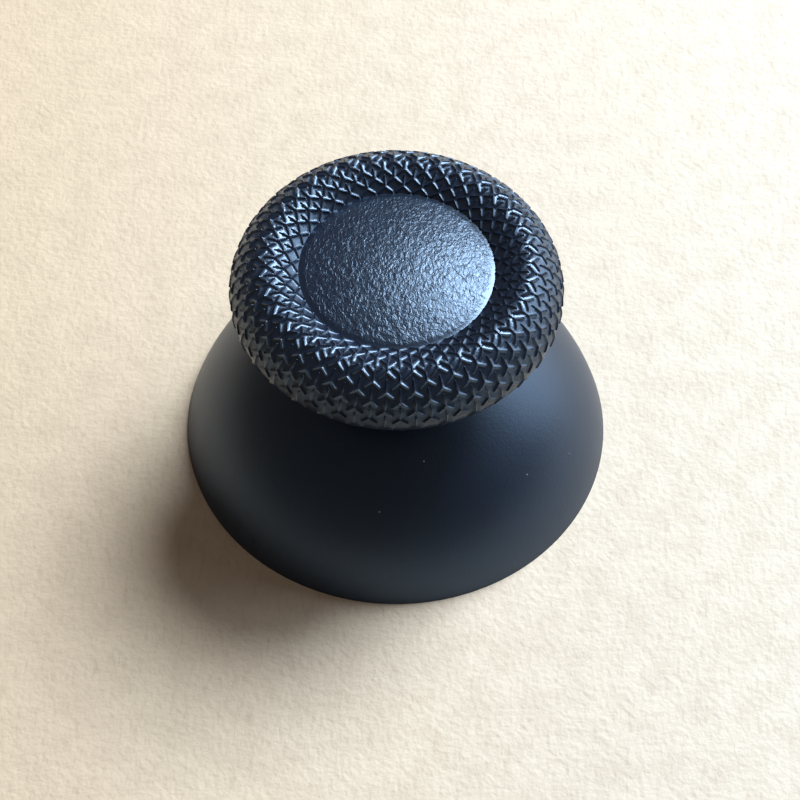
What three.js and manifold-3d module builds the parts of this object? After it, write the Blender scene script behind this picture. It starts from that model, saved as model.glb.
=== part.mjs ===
// Thumbstick cap: a hollow dome with a lever socket inside, a neck, and a round top whose
// raised ring carries a grip pattern of three-armed marks around a domed pad.
// It is one moulding in dark satin plastic. Millimetres, +Z up, standing on its rim at z = 0.

import * as THREE from 'three';
import { mergeVertices } from 'three/addons/utils/BufferGeometryUtils.js';
import Module from 'manifold-3d';

// Dome
const domeRadius = 11.2;          // outer radius at the rim
const domeCentreDrop = 3.38;      // the centre of the dome's sphere lies this far under the rim
const domeWall = 1.1;

// Neck between the dome and the top
const neckRadius = 4.5;
const neckFillet = 0.7;
const undersideRise = 0.35;       // the top's underside climbs this much from its edge to the neck

// Ring around the pad
const ringRadius = 8.1;           // at its widest
const crestRadius = 6.3;
const crestHeight = 13.87;
const shoulderHeight = 2.07;      // from the widest point up to the crest
const ringFullness = 1.68;        // superellipse exponent of the outer shoulder
const lipTuck = 0.42;             // how far the lip draws in under the widest point
const lipDepth = 1.05;            // how far the lip hangs below the widest point
const lipEdge = 0.2;              // rounding under the lip

// Pad in the middle
const padRadius = 4.75;
const padDrop = 0.69;             // how far the pad's edge lies under the crest
const padCrown = 0.55;            // how far the pad's middle stands above its edge
const flankFullness = 1.7;        // exponent of the ring's inner flank

// Lever socket, a blind double-D hole in a boss
const bossRadius = 3.0;
const bossEndHeight = 0.8;
const socketDiameter = 4.0;
const socketAcrossFlats = 3.0;
const socketDepth = 5.0;

// Grip marks: rows of three-armed ridges in two families that mirror each other about a line
// just outside the crest. A mark's stem points at the line, and its arms point away from it.
const marksPerRow = 35;
const mirrorOutset = 0.08;        // how far the mirror line lies outside the crest
const outerStart = 0.2;           // from the mirror line out to the first marks of the outer family
const innerStart = -0.23;         // from it in to those of the inner family, which start beyond it
const rowPitch = 0.45;
const smoothLip = 0.8;            // least length of the section that stays smooth at the lip
const smoothEdge = 0.07;          // length of it that stays smooth at the pad
const stemLength = 0.57;
const armDrop = 0.27;             // how far an arm's tip lies along the section from the mark's middle
const armGap = 0.14;              // between the arms of neighbouring marks at the pad
const markHalfWidth = 0.085;      // at the mark's middle, where its arms are widest
const markShoulder = 0.05;        // how far up the stem the corners beside it lie
const markHeight = 0.07;
const firstMarkAngle = 9.3;       // degrees from +X to the first mark

// Fineness of the faceted surfaces
const segments = 2 * marksPerRow;
const domeSteps = 9;
const hollowSteps = 7;
const filletSteps = 3;
const padSteps = 4;
const lipSteps = 3;
const socketSteps = 10;
const sectionSamples = 240;
const cutOverrun = 0.5;           // how far a cut starts outside the solid

const ringWidestHeight = crestHeight - shoulderHeight;
const padEdgeHeight = crestHeight - padDrop;

// Section of the ring from the pad's edge over the crest to the lip, as points [r, z]
function ringSection() {
  const points = [];
  for (let i = 0; i <= sectionSamples; i++) {
    const t = i / sectionSamples;
    const run = padRadius + (crestRadius - padRadius) * t;
    const rise = 1 - (1 - t) ** flankFullness;
    points.push(new THREE.Vector2(run, padEdgeHeight + padDrop * rise));
  }
  const shoulderWidth = ringRadius - crestRadius;
  for (let i = 1; i <= sectionSamples; i++) {
    const angle = (Math.PI / 2) * (1 - i / sectionSamples);
    const across = Math.max(Math.cos(angle), 0) ** (2 / ringFullness);
    const up = Math.max(Math.sin(angle), 0) ** (2 / ringFullness);
    const height = ringWidestHeight + shoulderHeight * up;
    points.push(new THREE.Vector2(crestRadius + shoulderWidth * across, height));
  }
  for (let i = 1; i <= sectionSamples; i++) {
    const t = i / sectionSamples;
    points.push(new THREE.Vector2(ringRadius - lipTuck * t * t, ringWidestHeight - lipDepth * t));
  }
  return points;
}

// The same section measured by length: point and outward normal at a distance from the mirror line
class Section {
  constructor(points) {
    this.points = points;
    this.lengths = [0];
    for (let i = 1; i < points.length; i++) {
      this.lengths.push(this.lengths[i - 1] + points[i].distanceTo(points[i - 1]));
    }
    const mirrorIndex = points.findIndex((point) => point.x >= crestRadius + mirrorOutset);
    this.mirrorLength = this.lengths[mirrorIndex];
    this.end = this.lengths[points.length - 1] - this.mirrorLength;
  }

  // Length around the ring from one mark to the next
  markPitch(distance) {
    return (2 * Math.PI * this.at(distance).point.x) / marksPerRow;
  }

  at(distance) {
    const target = distance + this.mirrorLength;
    let i = this.lengths.findIndex((length) => length >= target);
    if (i < 1) i = i === 0 ? 1 : this.points.length - 1;
    const span = this.lengths[i] - this.lengths[i - 1];
    const share = THREE.MathUtils.clamp((target - this.lengths[i - 1]) / span, 0, 1);
    const point = this.points[i - 1].clone().lerp(this.points[i], share);
    const along = this.points[i].clone().sub(this.points[i - 1]).normalize();
    return { point, normal: new THREE.Vector2(-along.y, along.x) };
  }
}

const section = new Section(ringSection());

// Arms are as long as the pad's edge leaves room for
const armReach = ((2 * Math.PI * padRadius) / marksPerRow - armGap) / 2;

// Outer rows lie a row pitch apart as far as the smooth lip; inner rows spread evenly up to the pad
const outerRoom = section.end - smoothLip - armDrop - outerStart;
const outerRows = 1 + Math.floor(outerRoom / rowPitch);
const patternEnd = outerStart + (outerRows - 1) * rowPitch + armDrop;
const innerRoom = section.mirrorLength - smoothEdge - armDrop - innerStart;
const innerRows = 1 + Math.round(innerRoom / rowPitch);
const innerPitch = innerRoom / (innerRows - 1);

// A closed skin of triangles. Corners are given by pitch around the axis, radius and height.
class Skin {
  constructor() {
    this.positions = [];
    this.triangles = [];
  }

  corner(pitch, radius, height) {
    const angle = THREE.MathUtils.degToRad(firstMarkAngle) + (2 * Math.PI * pitch) / marksPerRow;
    this.positions.push(radius * Math.cos(angle), radius * Math.sin(angle), height);
    return this.positions.length / 3 - 1;
  }

  triangle(a, b, c) {
    this.triangles.push(a, b, c);
  }

  // A ring of evenly spaced corners
  circle(radius, height) {
    const ring = [];
    for (let i = 0; i < segments; i++) {
      ring.push(this.corner((i + 0.5) / 2, radius, height));
    }
    return ring;
  }

  // The band between two rings, the first one nearer the pad along the outer skin
  band(ring, next) {
    for (let i = 0; i < ring.length; i++) {
      const j = (i + 1) % ring.length;
      this.triangle(ring[i], next[i], next[j]);
      this.triangle(ring[i], next[j], ring[j]);
    }
  }

  // Rings at each profile point [r, z], joined to one another and to the ring before them
  run(ring, profile) {
    let last = ring;
    for (const point of profile) {
      const next = this.circle(point.x, point.y);
      this.band(last, next);
      last = next;
    }
    return last;
  }

  geometry() {
    const geometry = new THREE.BufferGeometry();
    geometry.setAttribute('position', new THREE.Float32BufferAttribute(this.positions, 3));
    geometry.setIndex(this.triangles);
    return geometry;
  }
}

// One family of marks: side +1 is the outer one, -1 the inner one. Each mark is a three-pointed star
// with a raised middle; the cells between marks are plain. Rows lie half a pitch from one another.
class MarkRows {
  constructor(skin, side, distances, startsHalfway) {
    this.skin = skin;
    this.side = side;
    this.distances = distances;
    this.startsHalfway = startsHalfway;
    this.marks = distances.map((distance, row) => {
      const line = [];
      for (let i = 0; i < marksPerRow; i++) {
        line.push(this.mark(i + this.shift(row), distance, row > 1));
      }
      return line;
    });
  }

  // How far a row's first mark lies from pitch zero
  shift(row) {
    return ((row + this.startsHalfway) % 2) / 2;
  }

  corner(pitch, distance, lift) {
    const { point, normal } = section.at(this.side * distance);
    return this.skin.corner(pitch, point.x + normal.x * lift, point.y + normal.y * lift);
  }

  mark(pitch, distance, hasStem) {
    const markPitch = section.markPitch(this.side * distance);
    const width = markHalfWidth / markPitch;
    const reach = armReach / markPitch;
    const mark = {
      middle: this.corner(pitch, distance, markHeight),
      below: this.corner(pitch, distance + markHalfWidth, 0),
      tipLeft: this.corner(pitch - reach, distance + armDrop, 0),
      tipRight: this.corner(pitch + reach, distance + armDrop, 0),
    };
    if (hasStem) {
      mark.besideLeft = this.corner(pitch - width, distance - markShoulder, 0);
      mark.besideRight = this.corner(pitch + width, distance - markShoulder, 0);
      mark.stemTip = this.corner(pitch, distance - stemLength, 0);
    }
    return mark;
  }

  at(i, row) {
    return this.marks[row][(i + marksPerRow) % marksPerRow];
  }

  // Corners are listed as they run on the outer side, and reversed on the inner one
  triangle(a, b, c) {
    if (this.side > 0) this.skin.triangle(a, b, c);
    else this.skin.triangle(a, c, b);
  }

  arms(mark) {
    this.triangle(mark.middle, mark.tipRight, mark.besideRight);
    this.triangle(mark.middle, mark.below, mark.tipRight);
    this.triangle(mark.middle, mark.tipLeft, mark.below);
    this.triangle(mark.middle, mark.besideLeft, mark.tipLeft);
  }

  stem(mark) {
    this.triangle(mark.middle, mark.besideRight, mark.stemTip);
    this.triangle(mark.middle, mark.stemTip, mark.besideLeft);
  }

  // The plain cells on both sides of a mark's stem, up to the marks of the two rows before
  cells(i, row) {
    const mark = this.at(i, row);
    const left = this.at(this.shift(row) ? i : i - 1, row - 1);
    const right = this.at(this.shift(row) ? i + 1 : i, row - 1);
    const above = this.at(i, row - 2);
    this.triangle(left.tipRight, mark.besideLeft, mark.stemTip);
    this.triangle(right.tipLeft, mark.stemTip, mark.besideRight);
    this.triangle(left.besideRight, left.tipRight, above.tipLeft);
    this.triangle(right.besideLeft, above.tipRight, right.tipLeft);
    this.triangle(above.tipLeft, left.tipRight, mark.stemTip);
    this.triangle(above.tipRight, mark.stemTip, right.tipLeft);
    this.triangle(above.tipLeft, mark.stemTip, above.below);
    this.triangle(above.tipRight, above.below, mark.stemTip);
  }

  // The plain cells past the last row, and the ring of arm tips that ends the family
  close() {
    const edge = [];
    const row = this.distances.length - 1;
    const halfway = this.shift(row) > 0;
    for (let i = 0; i < marksPerRow; i++) {
      const mark = this.at(i, row);
      const next = this.at(i + 1, row);
      const between = this.at(halfway ? i + 1 : i, row - 1);
      this.triangle(mark.tipLeft, mark.tipRight, mark.below);
      this.triangle(mark.besideRight, mark.tipRight, between.tipLeft);
      this.triangle(between.tipLeft, mark.tipRight, between.below);
      this.triangle(mark.tipRight, next.tipLeft, between.below);
      this.triangle(between.below, next.tipLeft, between.tipRight);
      this.triangle(between.tipRight, next.tipLeft, next.besideLeft);
      if (halfway) edge.push(mark.tipLeft, mark.tipRight);
      else edge.push(mark.tipRight, next.tipLeft);
    }
    return edge;
  }

  // The first two rows have no stems of their own: bars join them to the other family
  build() {
    this.marks.forEach((line, row) => {
      line.forEach((mark, i) => {
        this.arms(mark);
        if (row < 2) return;
        this.stem(mark);
        this.cells(i, row);
      });
    });
    return this.close();
  }
}

// Bars across the mirror line, each from a row of one family to a row of the other. A bar's two
// marks share the corners beside its middle.
function joinRows(skin, outer, outerRow, inner, innerRow) {
  const distance = (outer.distances[outerRow] - inner.distances[innerRow]) / 2;
  const { point } = section.at(distance);
  const width = markHalfWidth / section.markPitch(distance);
  for (let i = 0; i < marksPerRow; i++) {
    const pitch = i + outer.shift(outerRow);
    const left = skin.corner(pitch - width, point.x, point.y);
    const right = skin.corner(pitch + width, point.x, point.y);
    const outerMark = outer.at(i, outerRow);
    const innerMark = inner.at(i, innerRow);
    for (const mark of [outerMark, innerMark]) {
      mark.besideLeft = left;
      mark.besideRight = right;
    }
    skin.triangle(outerMark.middle, right, innerMark.middle);
    skin.triangle(outerMark.middle, innerMark.middle, left);
  }
}

// The plain cells between neighbouring bars
function mirrorCells(skin, outer, inner) {
  for (let i = 0; i < marksPerRow; i++) {
    const mark = outer.at(i, 0);
    const between = outer.at(i, 1);
    const next = outer.at(i + 1, 0);
    const opposite = inner.at(i, 0);
    skin.triangle(mark.besideRight, mark.tipRight, between.besideLeft);
    skin.triangle(mark.besideRight, between.besideLeft, opposite.tipLeft);
    skin.triangle(next.besideLeft, between.besideRight, next.tipLeft);
    skin.triangle(next.besideLeft, opposite.tipRight, between.besideRight);
  }
}

function rowDistances(start, pitch, rows) {
  return Array.from({ length: rows }, (_, row) => start + row * pitch);
}

// The grip pattern as a whole, with the rings of corners where it ends
function gripPattern(skin) {
  const outer = new MarkRows(skin, 1, rowDistances(outerStart, rowPitch, outerRows), 0);
  const inner = new MarkRows(skin, -1, rowDistances(innerStart, innerPitch, innerRows), 1);
  joinRows(skin, outer, 0, inner, 1);
  joinRows(skin, outer, 1, inner, 0);
  mirrorCells(skin, outer, inner);
  return { lowerEdge: outer.build(), padEdge: inner.build() };
}

// The domed pad, from the ring of corners around it to its middle
function pad(skin, edge) {
  const capRadius = (padRadius ** 2 + padCrown ** 2) / (2 * padCrown);
  const heightAt = (radius) => {
    const drop = capRadius - Math.sqrt(capRadius ** 2 - radius ** 2);
    return padEdgeHeight + padCrown - drop;
  };
  let ring = edge;
  for (let i = padSteps; i > 0; i--) {
    const radius = (padRadius * i) / padSteps;
    const next = skin.circle(radius, heightAt(radius));
    skin.band(next, ring);
    ring = next;
  }
  const middle = skin.corner(0, 0, heightAt(0));
  for (let i = 0; i < segments; i++) {
    skin.triangle(middle, ring[i], ring[(i + 1) % segments]);
  }
}

// Points along a circular arc between two angles in degrees
function arc(centre, radius, from, to, steps) {
  const points = [];
  for (let i = 0; i <= steps; i++) {
    const angle = THREE.MathUtils.degToRad(from + ((to - from) * i) / steps);
    points.push(new THREE.Vector2(centre.x + radius * Math.cos(angle), centre.y + radius * Math.sin(angle)));
  }
  return points;
}

// The dome's outer and inner spheres share their centre on the axis
const domeSphereRadius = Math.hypot(domeRadius, domeCentreDrop);
const hollowSphereRadius = domeSphereRadius - domeWall;

function sphereProfile(radius, from, to, steps) {
  return arc(new THREE.Vector2(0, -domeCentreDrop), radius, from, to, steps);
}

// Angle above the horizontal at which a sphere of this radius is so far from the axis
function angleAt(fromAxis, radius) {
  return THREE.MathUtils.radToDeg(Math.acos(fromAxis / radius));
}

// The smooth lip under the grip pattern, and the rounding at its lower edge
function lipProfile() {
  const profile = [];
  for (let i = 1; i <= lipSteps; i++) {
    profile.push(section.at(patternEnd + ((section.end - patternEnd) * i) / lipSteps).point);
  }
  const lip = profile[profile.length - 1];
  const slope = -Math.atan2(2 * lipTuck, lipDepth);
  const centre = new THREE.Vector2(lip.x - lipEdge * Math.cos(slope), lip.y - lipEdge * Math.sin(slope));
  const rounding = arc(centre, lipEdge, THREE.MathUtils.radToDeg(slope), -90, filletSteps);
  return [...profile, ...rounding.slice(1)];
}

// The neck from the top's underside down to where it meets the dome, filleted at both ends
function neckProfile(underEdge) {
  const axis = neckRadius + neckFillet;
  const undersideHeight = underEdge.y + undersideRise;
  const upper = arc(new THREE.Vector2(axis, undersideHeight - neckFillet), neckFillet, 90, 180, filletSteps);
  const reach = domeSphereRadius + neckFillet;
  const footAngle = angleAt(axis, reach);
  const footHeight = reach * Math.sin(THREE.MathUtils.degToRad(footAngle)) - domeCentreDrop;
  const foot = arc(new THREE.Vector2(axis, footHeight), neckFillet, 180, 180 + footAngle, filletSteps);
  return { profile: [...upper, ...foot], footAngle };
}

// Outside, from the lip round the top's underside, down the neck and over the dome to the rim
function outerProfile() {
  const lip = lipProfile();
  const neck = neckProfile(lip[lip.length - 1]);
  const rimAngle = angleAt(domeRadius, domeSphereRadius);
  const dome = sphereProfile(domeSphereRadius, neck.footAngle, rimAngle, domeSteps);
  return [...lip, ...neck.profile, ...dome.slice(1)];
}

// Inside, from the rim up the hollow to the boss and down to the boss's end
function innerProfile() {
  const rimAngle = THREE.MathUtils.radToDeg(Math.asin(domeCentreDrop / hollowSphereRadius));
  const bossAngle = angleAt(bossRadius, hollowSphereRadius);
  const hollow = sphereProfile(hollowSphereRadius, rimAngle, bossAngle, hollowSteps);
  return [...hollow, new THREE.Vector2(bossRadius, bossEndHeight)];
}

// The whole cap before its socket is cut
function capGeometry() {
  const skin = new Skin();
  const { lowerEdge, padEdge } = gripPattern(skin);
  pad(skin, padEdge);
  const rim = skin.run(lowerEdge, outerProfile());
  const bossEnd = skin.run(rim, innerProfile());
  const middle = skin.corner(0, 0, bossEndHeight);
  for (let i = 0; i < segments; i++) {
    skin.triangle(middle, bossEnd[(i + 1) % segments], bossEnd[i]);
  }
  return skin.geometry();
}

// The double-D hole for the lever, open at the boss's end
function socketGeometry() {
  const radius = socketDiameter / 2;
  const flatAngle = Math.acos(socketAcrossFlats / socketDiameter);
  const outline = new THREE.Shape();
  outline.absarc(0, 0, radius, flatAngle, Math.PI - flatAngle, false);
  outline.absarc(0, 0, radius, Math.PI + flatAngle, 2 * Math.PI - flatAngle, false);
  outline.closePath();
  const depth = socketDepth + cutOverrun;
  const settings = { depth, bevelEnabled: false, curveSegments: socketSteps };
  const geometry = new THREE.ExtrudeGeometry(outline, settings);
  geometry.translate(0, 0, bossEndHeight - cutOverrun);
  return geometry;
}

// Joins and cuts
const wasm = await Module();
wasm.setup();

function solid(geometry) {
  const bare = geometry.clone();
  bare.deleteAttribute('normal');
  bare.deleteAttribute('uv');
  const merged = mergeVertices(bare, 1e-5);
  const mesh = new wasm.Mesh({
    numProp: 3,
    vertProperties: new Float32Array(merged.attributes.position.array),
    triVerts: new Uint32Array(merged.index.array),
  });
  return new wasm.Manifold(mesh);
}

function geometryOf(manifold) {
  const mesh = manifold.getMesh();
  const geometry = new THREE.BufferGeometry();
  geometry.setAttribute('position', new THREE.Float32BufferAttribute(mesh.vertProperties, 3));
  geometry.setIndex(Array.from(mesh.triVerts));
  geometry.computeVertexNormals();
  return geometry;
}

// Dark satin plastic
const darkPlastic = new THREE.MeshStandardMaterial({ color: 0x1d2027, roughness: 0.42, metalness: 0.0 });

const cap = new THREE.Mesh(geometryOf(solid(capGeometry()).subtract(solid(socketGeometry()))), darkPlastic);
cap.name = 'thumbstick_cap';

const thumbstick = new THREE.Group();
thumbstick.add(cap);

export default thumbstick;
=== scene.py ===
"""The looks of the thumbstick cap: one moulding in dark satin plastic, with a fine grip pattern."""

import math

import bpy
import numpy as np
from mathutils import Matrix, Vector
from mathutils.geometry import delaunay_2d_cdt


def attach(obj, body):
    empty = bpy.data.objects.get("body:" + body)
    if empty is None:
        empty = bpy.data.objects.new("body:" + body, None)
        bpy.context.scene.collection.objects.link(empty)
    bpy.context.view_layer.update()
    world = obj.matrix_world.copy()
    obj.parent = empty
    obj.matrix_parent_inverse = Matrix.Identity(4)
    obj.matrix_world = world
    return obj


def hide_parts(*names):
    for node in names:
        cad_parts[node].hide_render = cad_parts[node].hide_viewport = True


MM = 0.001

# Dome, in millimetres as all lengths below are
DOME_RADIUS = 11.2
DOME_SPHERE_RADIUS = 11.7
DOME_WALL = 1.1
SPHERE_HEIGHT = -math.sqrt(DOME_SPHERE_RADIUS ** 2 - DOME_RADIUS ** 2)
HOLLOW_SPHERE_RADIUS = DOME_SPHERE_RADIUS - DOME_WALL

# Neck between the dome and the top
NECK_RADIUS = 4.5
NECK_FILLET = 0.7
UNDERSIDE_RISE = 0.35

# Ring around the pad
RING_RADIUS = 8.1
RING_WIDEST_HEIGHT = 11.8
CREST_RADIUS = 6.3
CREST_HEIGHT = 13.87
RING_FULLNESS = 1.68
LIP_TUCK = 0.42
LIP_DEPTH = 1.05
LIP_EDGE = 0.2

# Pad in the middle
PAD_RADIUS = 4.75
PAD_EDGE_HEIGHT = 13.18
PAD_CROWN = 0.55
FLANK_FULLNESS = 1.7

# Lever socket in its boss
BOSS_RADIUS = 3.0
BOSS_END_HEIGHT = 0.8
SOCKET_DIAMETER = 4.0
SOCKET_ACROSS_FLATS = 3.0
SOCKET_DEPTH = 5.0

# Grip marks: a mark has a stem towards the mirror line and two arms away from it
MARKS_PER_ROW = 35
ROWS_OUTSIDE = 7
ROWS_INSIDE = 5
ROW_PITCH = 0.45
INNER_ROW_PITCH = 0.424
OUTER_START = 0.2
INNER_START = -0.23
STEM_LENGTH = 0.57
ARM_DROP = 0.27
ARM_REACH = 0.36
ARM_HALF_WIDTHS = (0.13, 0.065)
STEM_HALF_WIDTHS = (0.095, 0.05)
MARK_HEIGHT = 0.08
MARK_FULLNESS = 0.65
MIRROR_RADIUS = 6.38
FIRST_MARK_ANGLE = math.radians(9.3)

# Fineness of the mesh: contours are shares of a bar's half width
BAR_STEPS = 7
TIP_TURNS = (-45, 0, 45)
ARM_CONTOURS = (1.0, 0.65, 0.3, 0.0)
STEM_CONTOURS = (1.0, 0.45, 0.0)
PLAIN_SPACING = 0.17
LEAST_SPACING = 0.012
PARTS_PER_HALF_PITCH = 3
CONTOUR_SLACK = 0.03
PLAIN_FROM = 1.3
SECTION_SAMPLES = 600
LIP_ROWS = 6
EDGE_STEPS = 6
DOME_STEPS = 18
HOLLOW_STEPS = 12
PAD_RINGS = 14
TINY = 1e-6
CDT_EPSILON = 1e-7
SHARP_ANGLE = math.radians(40)

# Plastic: colours are linear, and each pair of heights is where a change starts and ends
PLASTIC_DARK = (0.006, 0.0105, 0.0245)
PLASTIC_LIGHT = (0.0085, 0.0145, 0.032)
DOME_ROUGHNESS = 0.4
RING_ROUGHNESS = 0.3
PAD_ROUGHNESS = 0.33
ROUGHNESS_SPREAD = 0.06
DOME_SHINE = 0.7
LIP_SHINE = 0.3
TOP_SHINE = 1.0
LIP_STARTS = (9.5, 10.5)
TOP_STARTS = (RING_WIDEST_HEIGHT, CREST_HEIGHT - 0.7)
PLASTIC_TINT = (0.5, 0.71, 1.0)
PLASTIC_IOR = 1.6
GRAIN_SIZE = 0.19
GRAIN_TURN = 0.7
GRAIN_STRETCH = 0.7
GRAIN_DETAIL = 3.0
GRAIN_DISTORTION = 0.8
GRAIN_DEPTH = 0.05
GRAIN_PATCH_SIZE = 0.9
GRAIN_PATCH_GAIN = (1.2, 0.4)
GRAIN_FADE = (0.05, 0.35)
GRAIN_HEIGHTS = (12, 12.5)
CLOUD_SIZE = 3.0
RIPPLE_SIZE = 0.25
RIPPLE_DEPTH = 0.004
CRINKLE_SIZE = 0.11
CRINKLE_DEPTH = 0.007

# How far in a spot or stroke is at its full strength, as a share of its reach
SPOT_CORE = 0.5
STROKE_CORE = 0.2
STROKE_ENDS = 0.7

# Small marks of making and use: flash by degrees round the lip, dust by degrees round the dome
# and down from its top
LIP_FLASH = (245, 251, 256, 272, 273, 284, 302)
LIP_FLASH_SIZE = 0.15
FLASH_DOWN_LIP = 0.88
DUST = ((-42, 50), (-78, 35), (-95, 47), (-24, 57))
DUST_SIZE = 0.045
DIRT_COLOUR = (0.42, 0.41, 0.39)
DIRT_ROUGHNESS = 0.4
DIRT_UNEVENNESS = 0.08
SCRATCHES = (((-0.3, 2.8), (0.5, 1.7)), ((2.6, -0.1), (3.4, -1.0)))
SCRATCH_WIDTH = 0.035
SCRATCH_DEPTH = 0.03
MOULD_LINE_ANGLE = math.radians(-74)
MOULD_LINE_START = 0.45
MOULD_LINE_HEIGHTS = (9, 8)
MOULD_LINE_WIDTH = 0.05
MOULD_LINE_DEPTH = 0.004

# Paper under the cap: its colour holds painted light, a darker tone away from the window and a
# paler one towards it, blended over a span of X in millimetres
PAPER_AWAY_PAINTED_SHADE = (0.82, 0.66, 0.48)
PAPER_WINDOW_PAINTED_LIGHT = (0.9, 0.83, 0.73)
PAPER_DARK = (0.55, 0.44, 0.33)
PAPER_PAINTED_LIGHT_SPAN = (-32, 30)
PAPER_CLOUD_SIZE = 1.6
PAPER_CLOUD_DETAIL = 5.0
PAPER_CLOUD_RANGE = (0.3, 0.75)
PAPER_CLOUDS = 0.22
FIBRE_SIZE = 0.25
FIBRE_DISTORTION = 0.6
FIBRE_RANGE = (0.5, 0.75)
FIBRE_TURN = 0.6
FIBRE_STRETCH = 0.25
FIBRES = 0.24
PAPER_GRAIN_SIZE = 0.35
PAPER_GRAIN_DETAIL = 4.0
PAPER_GRAIN_DEPTH = 0.06
PAPER_ROUGHNESS = 0.92
PAPER_SHINE = 0.2
FLOOR_METRES = 3.0

# Light
LAMP_METRES = 0.5
WINDOW_DIRECTION = (0.42, 0.5, 0.75)
WINDOW_HALF_ANGLE = math.radians(14)
WINDOW_WATTS = 3.3
WINDOW_COLOUR = (0.86, 0.94, 1.0)
SKY_DIRECTION = (0.8, 0.45, 0.4)
SKY_HALF_ANGLE = math.radians(26)
SKY_WATTS = 1.8
SKY_COLOUR = (0.78, 0.9, 1.0)
ROOM_COLOUR = (1.0, 0.82, 0.70)
ROOM_LEVEL = 0.11

# Camera, as fitted to the photo: angles are in degrees, below level, to the right of +Y and
# anticlockwise round the view
CAMERA_PLACE = (0, -56.13, 85.09)
CAMERA_PITCH = 55.9958
CAMERA_YAW = 0.1295
CAMERA_ROLL = 0.4256
CAMERA_LENS = 85
CAMERA_SENSOR = 36
CAMERA_NEAR_METRES = 0.005


def ring_section():
    """The ring's section from the pad's edge over the crest to the lip, in radius and height."""
    t = np.linspace(0, 1, SECTION_SAMPLES + 1)
    flank = np.stack([
        PAD_RADIUS + (CREST_RADIUS - PAD_RADIUS) * t,
        PAD_EDGE_HEIGHT + (CREST_HEIGHT - PAD_EDGE_HEIGHT) * (1 - (1 - t) ** FLANK_FULLNESS),
    ], axis=1)
    angle = (math.pi / 2) * (1 - t[1:])
    shoulder = np.stack([
        CREST_RADIUS + (RING_RADIUS - CREST_RADIUS) * np.cos(angle) ** (2 / RING_FULLNESS),
        RING_WIDEST_HEIGHT
        + (CREST_HEIGHT - RING_WIDEST_HEIGHT) * np.maximum(np.sin(angle), 0) ** (2 / RING_FULLNESS),
    ], axis=1)
    lip = np.stack([
        RING_RADIUS - LIP_TUCK * t[1:] ** 2,
        RING_WIDEST_HEIGHT - LIP_DEPTH * t[1:],
    ], axis=1)
    return np.concatenate([flank, shoulder, lip])


class Section:
    """The ring's section measured by its length from the mirror line, positive outside it."""

    def __init__(self, points):
        self.points = points
        steps = np.linalg.norm(np.diff(points, axis=0), axis=1)
        lengths = np.concatenate([[0.0], np.cumsum(steps)])
        self.lengths = lengths - lengths[np.argmax(points[:, 0] >= MIRROR_RADIUS)]
        self.end = self.lengths[-1]
        along = np.gradient(points, self.lengths, axis=0)
        along /= np.linalg.norm(along, axis=1, keepdims=True)
        self.normals = np.stack([-along[:, 1], along[:, 0]], axis=1)

    def at(self, distance, lift=0.0):
        """Radius and height at a distance along the section, lifted off it along its normal."""
        place = [np.interp(distance, self.lengths, self.points[:, k]) for k in range(2)]
        normal = [np.interp(distance, self.lengths, self.normals[:, k]) for k in range(2)]
        return place[0] + normal[0] * lift, place[1] + normal[1] * lift


SECTION = Section(ring_section())


def pitch_length(distance):
    """Length round the ring from one mark to the next, at a distance from the mirror line."""
    return 2 * math.pi * float(SECTION.at(distance)[0]) / MARKS_PER_ROW


class Bar:
    """An arm or stem of a mark, in pitch round the ring and distance from the mirror line. It
    tapers from the mark's middle to a rounded tip."""

    def __init__(self, start, end, half_widths, contours):
        self.metric = np.array([pitch_length(start[1]), 1.0])
        self.start = np.array(start) * self.metric
        self.line = np.array(end) * self.metric - self.start
        self.half_widths = half_widths
        self.contours = contours

    def half_width(self, along):
        return self.half_widths[0] + (self.half_widths[1] - self.half_widths[0]) * along

    def across(self, points):
        """How far from the bar's axis points lie, as a share of its half width there."""
        offset = points * self.metric - self.start
        along = np.clip(offset @ self.line / (self.line @ self.line), 0, 1)
        away = np.linalg.norm(offset - along[:, None] * self.line, axis=1)
        return away / self.half_width(along)

    def contour(self, share):
        """Points on both sides and round the tip at a share of the half width."""
        length = np.linalg.norm(self.line)
        ahead = self.line / length
        aside = np.array([-ahead[1], ahead[0]])
        points = []
        for i in range(BAR_STEPS + 1):
            along = i / BAR_STEPS
            for side in (-1, 1):
                out = aside * side * share * self.half_width(along)
                points.append(self.start + self.line * along + out)
        for turn in TIP_TURNS:
            angle = math.radians(turn)
            out = ahead * math.cos(angle) + aside * math.sin(angle)
            points.append(self.start + self.line + out * share * self.half_widths[1])
        return np.array(points) / self.metric


def mark_bars(pitch, distance, side, stem_length):
    """The arm and the stem of a mark that lie in the half pitch from 0 to 0.5."""
    inward = 1 if pitch == 0 else -1
    tip = (pitch + inward * ARM_REACH / pitch_length(distance), distance + side * ARM_DROP)
    foot = (pitch, distance - side * stem_length)
    return [
        Bar((pitch, distance), tip, ARM_HALF_WIDTHS, ARM_CONTOURS),
        Bar((pitch, distance), foot, STEM_HALF_WIDTHS, STEM_CONTOURS),
    ]


def all_bars():
    """Bars of the half pitch: rows outside the mirror line, and rows inside it in mirror image.
    The first marks of both families share their stems."""
    outside = [OUTER_START + i * ROW_PITCH for i in range(ROWS_OUTSIDE)]
    inside = [-(INNER_START + i * INNER_ROW_PITCH) for i in range(ROWS_INSIDE)]
    shared = {0: (outside[0] - inside[1]) / 2, 1: (outside[1] - inside[0]) / 2}
    bars = []
    for i, distance in enumerate(outside):
        bars += mark_bars((i % 2) / 2, distance, 1, shared.get(i, STEM_LENGTH))
    for i, distance in enumerate(inside):
        bars += mark_bars(((i + 1) % 2) / 2, distance, -1, shared.get(1 - i, STEM_LENGTH))
    return bars


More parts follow.
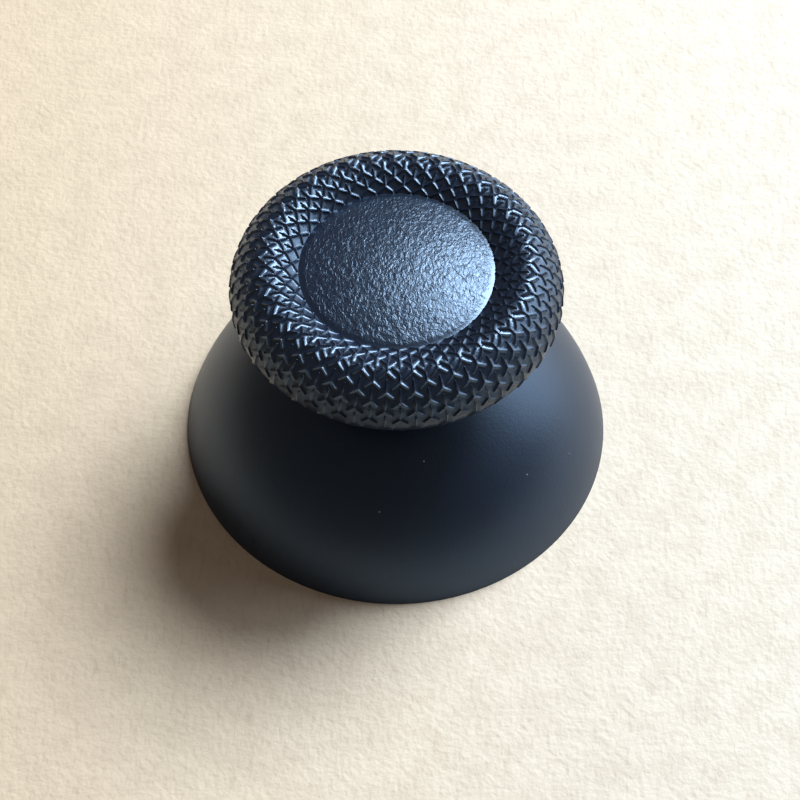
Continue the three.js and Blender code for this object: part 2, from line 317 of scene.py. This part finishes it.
class Grip:
    """The grip pattern's mesh over half a pitch, in pitch and distance, and the marks' height."""

    def __init__(self):
        self.bars = all_bars()
        self.inner_end = float(SECTION.lengths[0])
        last_row = OUTER_START + (ROWS_OUTSIDE - 1) * ROW_PITCH
        self.outer_end = last_row + ARM_DROP + 2 * ARM_HALF_WIDTHS[1]
        self.points = self.spaced(self.candidates())
        self.triangles = self.triangulate()

    def across(self, points):
        """How far points lie from the nearest bar's axis, as a share of its half width."""
        return np.min([bar.across(points) for bar in self.bars], axis=0)

    def height(self, points):
        """The marks' height, highest on the bars' axes."""
        return MARK_HEIGHT * (1 - np.minimum(self.across(points), 1) ** MARK_FULLNESS)

    def candidates(self):
        """Points in falling order of rank: the ends, the bars' contours, the sides and the rest."""
        pitches = np.linspace(0, 0.5, PARTS_PER_HALF_PITCH + 1)
        count = round((self.outer_end - self.inner_end) / (PLAIN_SPACING / 2))
        distances = np.linspace(self.inner_end, self.outer_end, count + 1)
        ends = [(p, d) for d in (self.inner_end, self.outer_end) for p in pitches]
        sides = [(p, d) for p in (0.0, 0.5) for d in distances]
        found = [np.array(ends)]
        for bar in self.bars:
            for share in bar.contours:
                points = bar.contour(share)
                found.append(points[self.across(points) > share - CONTOUR_SLACK])
        found.append(np.array(sides))
        columns = np.linspace(0, 0.5, round(0.5 * pitch_length(0) / PLAIN_SPACING) + 1)
        plain = np.array([(p, d) for d in distances[::2] for p in columns])
        found.append(plain[self.across(plain) > PLAIN_FROM])
        points = np.concatenate(found)
        for side in (0.0, 0.5):
            points[np.abs(points[:, 0] - side) < TINY, 0] = side
        inside = (points[:, 0] >= 0) & (points[:, 0] <= 0.5)
        inside &= (points[:, 1] >= self.inner_end) & (points[:, 1] <= self.outer_end)
        return points[inside]

    def spaced(self, points):
        """Drops points that lie too near an earlier one, or too near an edge but not on it."""
        flat = points * [pitch_length(0), 1.0]
        from_sides = np.minimum(flat[:, 0], 0.5 * pitch_length(0) - flat[:, 0])
        from_ends = np.minimum(points[:, 1] - self.inner_end, self.outer_end - points[:, 1])
        kept = []
        for i in range(len(points)):
            if 0 < from_sides[i] < LEAST_SPACING or 0 < from_ends[i] < LEAST_SPACING:
                continue
            if kept and np.min(np.linalg.norm(flat[kept] - flat[i], axis=1)) < LEAST_SPACING:
                continue
            kept.append(i)
        return points[kept]

    def triangulate(self):
        """Triangles between the points, as numbers of points."""
        flat = self.points * [pitch_length(0), 1.0]
        flat = [Vector(p) for p in flat]
        _, _, faces, origins, _, _ = delaunay_2d_cdt(flat, [], [], 0, CDT_EPSILON)
        index = [origin[0] for origin in origins]
        return np.array([[index[i] for i in face] for face in faces])

    def whole(self):
        """The half pitch and its mirror image, repeated round the ring, with like points merged."""
        mirrored = self.points * [-1, 1]
        pair = np.concatenate([self.points, mirrored])
        faces = np.concatenate([self.triangles, len(self.points) + self.triangles[:, ::-1]])
        points = np.concatenate([pair + [i, 0] for i in range(MARKS_PER_ROW)])
        faces = np.concatenate([faces + i * len(pair) for i in range(MARKS_PER_ROW)])
        keys = np.round(points / TINY).astype(np.int64)
        keys[:, 0] %= round(MARKS_PER_ROW / TINY)
        _, first, inverse = np.unique(keys, axis=0, return_index=True, return_inverse=True)
        heights = np.tile(self.height(self.points), 2 * MARKS_PER_ROW)
        return points[first], inverse.reshape(-1)[faces], heights[first]


class Skin:
    """Vertices in millimetres and faces of the one closed mesh."""

    def __init__(self):
        self.vertices = []
        self.faces = []
        self.count = 0

    def add(self, pitch, radius, height):
        """The numbers of new vertices, placed by pitch round the ring."""
        angle = FIRST_MARK_ANGLE + 2 * math.pi * np.asarray(pitch, float) / MARKS_PER_ROW
        radius = np.broadcast_to(radius, angle.shape)
        height = np.broadcast_to(height, angle.shape)
        places = np.stack([radius * np.cos(angle), radius * np.sin(angle), height], axis=1)
        self.vertices.append(places)
        first = self.count
        self.count += len(angle)
        return np.arange(first, self.count)

    def band(self, ring, after):
        """Quads between two rings of as many vertices, in order outwards from the pad."""
        quads = np.stack([ring, after, np.roll(after, -1), np.roll(ring, -1)], axis=1)
        self.faces.extend(quads.tolist())

    def run(self, ring, pitches, profile):
        """Bands from a ring along a profile, and the last ring."""
        for radius, height in profile:
            after = self.add(pitches, radius, height)
            self.band(ring, after)
            ring = after
        return ring


def edge_of_pattern(points, distance):
    """The vertices on a line where the pattern ends, in order round the ring, and their pitches."""
    on_line = np.where(np.abs(points[:, 1] - distance) < TINY)[0]
    pitch = points[on_line, 0] % MARKS_PER_ROW
    order = np.argsort(pitch)
    return on_line[order], pitch[order]


def arc(centre, radius, start, end, steps):
    """Points on a circular arc between two angles in degrees."""
    angles = np.radians(np.linspace(start, end, steps + 1))
    return [(centre[0] + radius * math.cos(a), centre[1] + radius * math.sin(a)) for a in angles]


def angle_at(from_axis, radius):
    """The angle above level, in degrees, at which a circle round the axis has a radius from it."""
    return math.degrees(math.acos(from_axis / radius))


def lip_profile(pattern_end):
    """From the pattern's end down the smooth lip and round its edge."""
    distances = np.linspace(pattern_end, SECTION.end, LIP_ROWS + 1)[1:]
    profile = list(zip(*SECTION.at(distances)))
    slope = -math.atan2(2 * LIP_TUCK, LIP_DEPTH)
    lip = profile[-1]
    centre = (lip[0] - LIP_EDGE * math.cos(slope), lip[1] - LIP_EDGE * math.sin(slope))
    return profile + arc(centre, LIP_EDGE, math.degrees(slope), -90, EDGE_STEPS)[1:]


def neck_profile(under_edge):
    """The neck with its two fillets, and the angle at which the lower one meets the dome."""
    axis = NECK_RADIUS + NECK_FILLET
    underside = under_edge[1] + UNDERSIDE_RISE
    upper = arc((axis, underside - NECK_FILLET), NECK_FILLET, 90, 180, EDGE_STEPS)
    reach = DOME_SPHERE_RADIUS + NECK_FILLET
    foot_angle = angle_at(axis, reach)
    foot_height = SPHERE_HEIGHT + reach * math.sin(math.radians(foot_angle))
    foot = arc((axis, foot_height), NECK_FILLET, 180, 180 + foot_angle, EDGE_STEPS)
    return upper + foot, foot_angle


def outer_profile(pattern_end):
    """From the pattern's end down the outside to the rim."""
    lip = lip_profile(pattern_end)
    neck, foot_angle = neck_profile(lip[-1])
    rim_angle = angle_at(DOME_RADIUS, DOME_SPHERE_RADIUS)
    dome = arc((0, SPHERE_HEIGHT), DOME_SPHERE_RADIUS, foot_angle, rim_angle, DOME_STEPS)
    return lip + neck + dome[1:]


def inner_profile():
    """From the rim up the hollow and down the boss to its end."""
    rim_angle = math.degrees(math.asin(-SPHERE_HEIGHT / HOLLOW_SPHERE_RADIUS))
    boss_angle = angle_at(BOSS_RADIUS, HOLLOW_SPHERE_RADIUS)
    hollow = arc((0, SPHERE_HEIGHT), HOLLOW_SPHERE_RADIUS, rim_angle, boss_angle, HOLLOW_STEPS)
    return hollow + [(BOSS_RADIUS, BOSS_END_HEIGHT)]


def socket_radius(angle):
    """The double-D hole's outline: a circle cut by two flats that face along X."""
    flat = (SOCKET_ACROSS_FLATS / 2) / np.maximum(np.abs(np.cos(angle)), TINY)
    return np.minimum(SOCKET_DIAMETER / 2, flat)


def pad_height(radius):
    """The height of the pad's shallow spherical crown."""
    cap_radius = (PAD_RADIUS ** 2 + PAD_CROWN ** 2) / (2 * PAD_CROWN)
    return PAD_EDGE_HEIGHT + PAD_CROWN - (cap_radius - math.sqrt(cap_radius ** 2 - radius ** 2))


def cap_mesh():
    """Vertices in metres and faces: ring, outside, hollow, boss and socket, and then the pad."""
    grip = Grip()
    points, faces, heights = grip.whole()
    skin = Skin()
    radius, height = SECTION.at(points[:, 1], heights)
    skin.add(points[:, 0], radius, height)
    skin.faces.extend(faces.tolist())

    ring, pitches = edge_of_pattern(points, grip.outer_end)
    rim = skin.run(ring, pitches, outer_profile(grip.outer_end))
    boss_end = skin.run(rim, pitches, inner_profile())
    angles = FIRST_MARK_ANGLE + 2 * math.pi * pitches / MARKS_PER_ROW
    mouth = skin.add(pitches, socket_radius(angles), BOSS_END_HEIGHT)
    floor = skin.add(pitches, socket_radius(angles), BOSS_END_HEIGHT + SOCKET_DEPTH)
    skin.band(boss_end, mouth)
    skin.band(mouth, floor)
    skin.faces.append(floor[::-1].tolist())

    ring, pitches = edge_of_pattern(points, grip.inner_end)
    for i in range(PAD_RINGS - 1, 0, -1):
        r = PAD_RADIUS * i / PAD_RINGS
        after = skin.add(pitches, r, pad_height(r))
        skin.band(after, ring)
        ring = after
    middle = skin.add([0.0], 0.0, pad_height(0.0))[0]
    for a, b in zip(ring, np.roll(ring, -1)):
        skin.faces.append([middle, int(a), int(b)])
    return np.concatenate(skin.vertices) * MM, skin.faces


class Nodes:
    """Short calls for the nodes of one material."""

    def __init__(self, name):
        self.material = bpy.data.materials.new(name)
        self.material.use_nodes = True
        self.tree = self.material.node_tree
        self.shader = self.tree.nodes["Principled BSDF"]

    def put(self, socket, value):
        """Links another node's output to a socket, or sets its value."""
        if isinstance(value, bpy.types.NodeSocket):
            self.tree.links.new(value, socket)
        else:
            socket.default_value = value

    def node(self, kind, inputs, **settings):
        node = self.tree.nodes.new(kind)
        for name, value in settings.items():
            setattr(node, name, value)
        for key, value in inputs.items():
            self.put(node.inputs[key], value)
        return node

    def math(self, operation, *values):
        inputs = dict(enumerate(values))
        return self.node("ShaderNodeMath", inputs, operation=operation).outputs[0]

    def vector(self, operation, first, second, output="Vector"):
        inputs = {0: first, 1: second}
        return self.node("ShaderNodeVectorMath", inputs, operation=operation).outputs[output]

    def apart(self, vector):
        return self.node("ShaderNodeSeparateXYZ", {0: vector}).outputs

    def place(self, turn=0.0, scale=(1, 1, 1), shift=(0, 0, 0)):
        """A point's place on the object in metres, scaled, turned about the axis and shifted."""
        where = self.node("ShaderNodeTexCoord", {}).outputs["Object"]
        inputs = {"Vector": where, "Rotation": (0, 0, turn), "Scale": scale, "Location": shift}
        return self.node("ShaderNodeMapping", inputs).outputs[0]

    def noise(self, place, size, detail=2.0, distortion=0.0):
        """Noise from 0 to 1 with spots of about a size in millimetres."""
        inputs = {"Vector": place, "Scale": 1 / (size * MM), "Detail": detail,
                  "Distortion": distortion}
        return self.node("ShaderNodeTexNoise", inputs).outputs["Fac"]

    def step(self, value, low, high):
        """Smooth step from 0 at low to 1 at high."""
        inputs = {"Value": value, "From Min": low, "From Max": high}
        return self.node("ShaderNodeMapRange", inputs, interpolation_type="SMOOTHSTEP").outputs[0]

    def step_mm(self, length, low, high):
        return self.step(length, low * MM, high * MM)

    def blend(self, share, first, second):
        """A colour from the first at 0 to the second at 1."""
        inputs = {0: share, 6: first, 7: second}
        return self.node("ShaderNodeMix", inputs, data_type="RGBA").outputs[2]

    def ragged(self, place, reach):
        """The place moved by about a reach in millimetres at most, for uneven outlines."""
        inputs = {"Vector": place, "Scale": 0.5 / (reach * MM), "Detail": 2.0}
        noise = self.node("ShaderNodeTexNoise", inputs).outputs["Color"]
        centred = self.vector("SUBTRACT", noise, (0.5, 0.5, 0.5))
        moved = self.vector("MULTIPLY", centred, [2 * reach * MM] * 3)
        return self.vector("ADD", place, moved)

    def spots(self, place, centres, size):
        """1 in spots of a radius in millimetres, 0 elsewhere."""
        total = 0.0
        for centre in centres:
            away = self.vector("DISTANCE", place, [c * MM for c in centre], "Value")
            total = self.math("MAXIMUM", total, self.step_mm(away, size, SPOT_CORE * size))
        return total

    def stroke(self, start, end, width):
        """1 on a straight line seen from above, fading out at its ends."""
        half = math.dist(start, end) / 2
        turn = math.atan2(end[1] - start[1], end[0] - start[0])
        middle = Vector(((start[0] + end[0]) / 2, (start[1] + end[1]) / 2, 0)) * MM
        shift = -(Matrix.Rotation(-turn, 3, "Z") @ middle)
        along, aside, _ = self.apart(self.place(turn=-turn, shift=shift))
        near = self.step_mm(self.math("ABSOLUTE", aside), width, STROKE_CORE * width)
        within = self.step_mm(self.math("ABSOLUTE", along), half, STROKE_ENDS * half)
        return self.math("MULTIPLY", near, within)

    def bump(self, height, depth):
        """The normal of relief, which is a depth in millimetres high where its height is 1."""
        inputs = {"Height": height, "Distance": depth * MM, "Strength": 1.0}
        return self.node("ShaderNodeBump", inputs).outputs[0]


def round_axis(radius, angle, height):
    """A place given by its radius, its angle round the axis and its height."""
    return radius * math.cos(angle), radius * math.sin(angle), height


def on_dome(around, down):
    """A place on the dome, by degrees round the axis and down from the top."""
    down = math.radians(down)
    height = SPHERE_HEIGHT + DOME_SPHERE_RADIUS * math.cos(down)
    return round_axis(DOME_SPHERE_RADIUS * math.sin(down), math.radians(around), height)


def plastic_relief(nodes, place, on_pad):
    """The normal: leathery grain and scratches on the pad, ripple, crinkles and a mould line."""
    stretched = nodes.place(turn=GRAIN_TURN, scale=(1, GRAIN_STRETCH, 1))
    grain = nodes.noise(stretched, GRAIN_SIZE, GRAIN_DETAIL, GRAIN_DISTORTION)
    patches = nodes.math("MULTIPLY_ADD", nodes.noise(place, GRAIN_PATCH_SIZE), *GRAIN_PATCH_GAIN)
    grain = nodes.math("MULTIPLY", nodes.math("MULTIPLY", grain, patches), on_pad)
    scratches = nodes.math("MAXIMUM", *(nodes.stroke(*ends, SCRATCH_WIDTH) for ends in SCRATCHES))
    scratches = nodes.math("MULTIPLY", scratches, on_pad)
    line_end = round_axis(DOME_RADIUS, MOULD_LINE_ANGLE, 0)[:2]
    line = nodes.stroke([c * MOULD_LINE_START for c in line_end], line_end, MOULD_LINE_WIDTH)
    line = nodes.math("MULTIPLY", line, nodes.step_mm(nodes.apart(place)[2], *MOULD_LINE_HEIGHTS))
    relief = nodes.math("MULTIPLY", grain, GRAIN_DEPTH)
    for height, depth in ((nodes.noise(place, RIPPLE_SIZE), RIPPLE_DEPTH),
                          (nodes.noise(place, CRINKLE_SIZE), CRINKLE_DEPTH),
                          (line, MOULD_LINE_DEPTH), (scratches, -SCRATCH_DEPTH)):
        relief = nodes.math("MULTIPLY_ADD", height, depth, relief)
    return nodes.bump(relief, 1.0)


def plastic_dirt(nodes, place):
    """1 on specks of dust on the dome and on bits of flash along the lip, 0 elsewhere."""
    lip_radius = RING_RADIUS - LIP_TUCK * FLASH_DOWN_LIP ** 2
    lip_height = RING_WIDEST_HEIGHT - LIP_DEPTH * FLASH_DOWN_LIP
    flash = [round_axis(lip_radius, math.radians(angle), lip_height) for angle in LIP_FLASH]
    dust = [on_dome(*angles) for angles in DUST]
    uneven = nodes.ragged(place, DIRT_UNEVENNESS)
    return nodes.math("MAXIMUM", nodes.spots(uneven, dust, DUST_SIZE),
                      nodes.spots(uneven, flash, LIP_FLASH_SIZE))


def plastic():
    """Dark navy satin plastic: dull on the dome and the lip, shiny on top, grained on the pad."""
    nodes = Nodes("dark_satin_plastic")
    place = nodes.place()
    x, y, z = nodes.apart(place)
    squares = nodes.math("ADD", nodes.math("MULTIPLY", x, x), nodes.math("MULTIPLY", y, y))
    radius = nodes.math("SQRT", squares)
    inside_ring = nodes.step_mm(radius, *(PAD_RADIUS - inwards for inwards in GRAIN_FADE))
    on_pad = nodes.math("MULTIPLY", inside_ring, nodes.step_mm(z, *GRAIN_HEIGHTS))
    from_lip = nodes.step_mm(z, *LIP_STARTS)
    from_top = nodes.step_mm(z, *TOP_STARTS)
    nodes.put(nodes.shader.inputs["Normal"], plastic_relief(nodes, place, on_pad))

    cloud = nodes.noise(place, CLOUD_SIZE)
    dirt = plastic_dirt(nodes, place)
    colour = nodes.blend(cloud, (*PLASTIC_DARK, 1), (*PLASTIC_LIGHT, 1))
    nodes.put(nodes.shader.inputs["Base Color"], nodes.blend(dirt, colour, (*DIRT_COLOUR, 1)))

    least = DOME_ROUGHNESS - ROUGHNESS_SPREAD / 2
    rough = nodes.math("MULTIPLY_ADD", cloud, ROUGHNESS_SPREAD, least)
    for where, more in ((from_lip, RING_ROUGHNESS - DOME_ROUGHNESS),
                        (on_pad, PAD_ROUGHNESS - RING_ROUGHNESS), (dirt, DIRT_ROUGHNESS)):
        rough = nodes.math("MULTIPLY_ADD", where, more, rough)
    nodes.put(nodes.shader.inputs["Roughness"], rough)

    shine = nodes.math("MULTIPLY_ADD", from_lip, LIP_SHINE - DOME_SHINE, DOME_SHINE)
    shine = nodes.math("MULTIPLY_ADD", from_top, TOP_SHINE - LIP_SHINE, shine)
    nodes.put(nodes.shader.inputs["Specular IOR Level"], shine)
    nodes.shader.inputs["IOR"].default_value = PLASTIC_IOR
    nodes.shader.inputs["Specular Tint"].default_value = (*PLASTIC_TINT, 1)
    return nodes.material


def paper():
    """Cream wrapping paper with clouded fibres, and painted light: paler towards the window, darker
    away from it.
    """
    nodes = Nodes("cream_paper")
    place = nodes.place()
    # Painted light: the paper's colour goes from the darker tone away from the window to the paler
    # one towards it, along X
    towards = nodes.step_mm(nodes.apart(place)[0], *PAPER_PAINTED_LIGHT_SPAN)
    painted_light_tone = nodes.blend(towards, (*PAPER_AWAY_PAINTED_SHADE, 1), (*PAPER_WINDOW_PAINTED_LIGHT, 1))
    clouds = nodes.noise(place, PAPER_CLOUD_SIZE, PAPER_CLOUD_DETAIL)
    clouds = nodes.step(clouds, *PAPER_CLOUD_RANGE)
    tone = nodes.blend(nodes.math("MULTIPLY", clouds, PAPER_CLOUDS), painted_light_tone, (*PAPER_DARK, 1))
    stretched = nodes.place(turn=FIBRE_TURN, scale=(1, FIBRE_STRETCH, 1))
    fibres = nodes.noise(stretched, FIBRE_SIZE, distortion=FIBRE_DISTORTION)
    fibres = nodes.step(fibres, *FIBRE_RANGE)
    colour = nodes.blend(nodes.math("MULTIPLY", fibres, FIBRES), tone, (*PAPER_DARK, 1))
    grain = nodes.noise(place, PAPER_GRAIN_SIZE, PAPER_GRAIN_DETAIL)
    nodes.put(nodes.shader.inputs["Base Color"], colour)
    nodes.put(nodes.shader.inputs["Normal"], nodes.bump(grain, PAPER_GRAIN_DEPTH))
    nodes.shader.inputs["Roughness"].default_value = PAPER_ROUGHNESS
    nodes.shader.inputs["Specular IOR Level"].default_value = PAPER_SHINE
    return nodes.material


def make_cap():
    vertices, faces = cap_mesh()
    mesh = bpy.data.meshes.new("cap_skin")
    mesh.from_pydata(vertices.tolist(), [], faces)
    mesh.validate()
    mesh.materials.append(plastic())
    mesh.shade_smooth()
    mesh.set_sharp_from_angle(angle=SHARP_ANGLE)
    cap = bpy.data.objects.new("cap", mesh)
    bpy.context.scene.collection.objects.link(cap)
    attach(cap, "root")
    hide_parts("thumbstick_cap")


def make_camera():
    data = bpy.data.cameras.new("camera")
    data.lens = CAMERA_LENS
    data.sensor_width = CAMERA_SENSOR
    data.clip_start = CAMERA_NEAR_METRES
    camera = bpy.data.objects.new("camera", data)
    bpy.context.scene.collection.objects.link(camera)
    pitch, yaw, roll = (math.radians(a) for a in (CAMERA_PITCH, CAMERA_YAW, CAMERA_ROLL))
    forward = Vector((0, math.cos(pitch), -math.sin(pitch)))
    right = Vector((1, 0, 0))
    up = right.cross(forward)
    forward, right = (math.cos(yaw) * forward + math.sin(yaw) * right,
                      math.cos(yaw) * right - math.sin(yaw) * forward)
    right, up = (math.cos(roll) * right + math.sin(roll) * up,
                 math.cos(roll) * up - math.sin(roll) * right)
    axes = Matrix((right, up, -forward)).transposed().to_4x4()
    camera.matrix_world = Matrix.Translation(Vector(CAMERA_PLACE) * MM) @ axes
    bpy.context.scene.camera = camera


def make_floor():
    bpy.ops.mesh.primitive_plane_add(size=FLOOR_METRES)
    floor = bpy.context.object
    floor.name = "floor"
    floor.data.materials.append(paper())


def area_light(name, direction, half_angle, watts, colour):
    """A round lamp that faces the cap, seen from it under a half angle."""
    data = bpy.data.lights.new(name, "AREA")
    data.shape = "DISK"
    data.size = 2 * LAMP_METRES * math.tan(half_angle)
    data.energy = watts
    data.color = colour
    light = bpy.data.objects.new(name, data)
    light.location = Vector(direction).normalized() * LAMP_METRES
    light.rotation_euler = (-Vector(direction)).to_track_quat("-Z", "Y").to_euler()
    bpy.context.scene.collection.objects.link(light)


def make_lights():
    area_light("window", WINDOW_DIRECTION, WINDOW_HALF_ANGLE, WINDOW_WATTS, WINDOW_COLOUR)
    area_light("sky", SKY_DIRECTION, SKY_HALF_ANGLE, SKY_WATTS, SKY_COLOUR)
    world = bpy.data.worlds.new("room")
    bpy.context.scene.world = world
    world.use_nodes = True
    background = world.node_tree.nodes["Background"]
    background.inputs["Color"].default_value = (*ROOM_COLOUR, 1)
    background.inputs["Strength"].default_value = ROOM_LEVEL


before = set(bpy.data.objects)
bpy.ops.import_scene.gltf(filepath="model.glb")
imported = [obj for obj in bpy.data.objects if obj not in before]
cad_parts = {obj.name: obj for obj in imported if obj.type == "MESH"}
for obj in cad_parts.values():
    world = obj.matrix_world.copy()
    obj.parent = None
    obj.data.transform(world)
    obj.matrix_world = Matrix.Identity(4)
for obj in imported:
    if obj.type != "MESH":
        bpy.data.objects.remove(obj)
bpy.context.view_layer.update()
bpy.context.scene.view_settings.view_transform = "Standard"
make_camera()
make_floor()
make_lights()
make_cap()
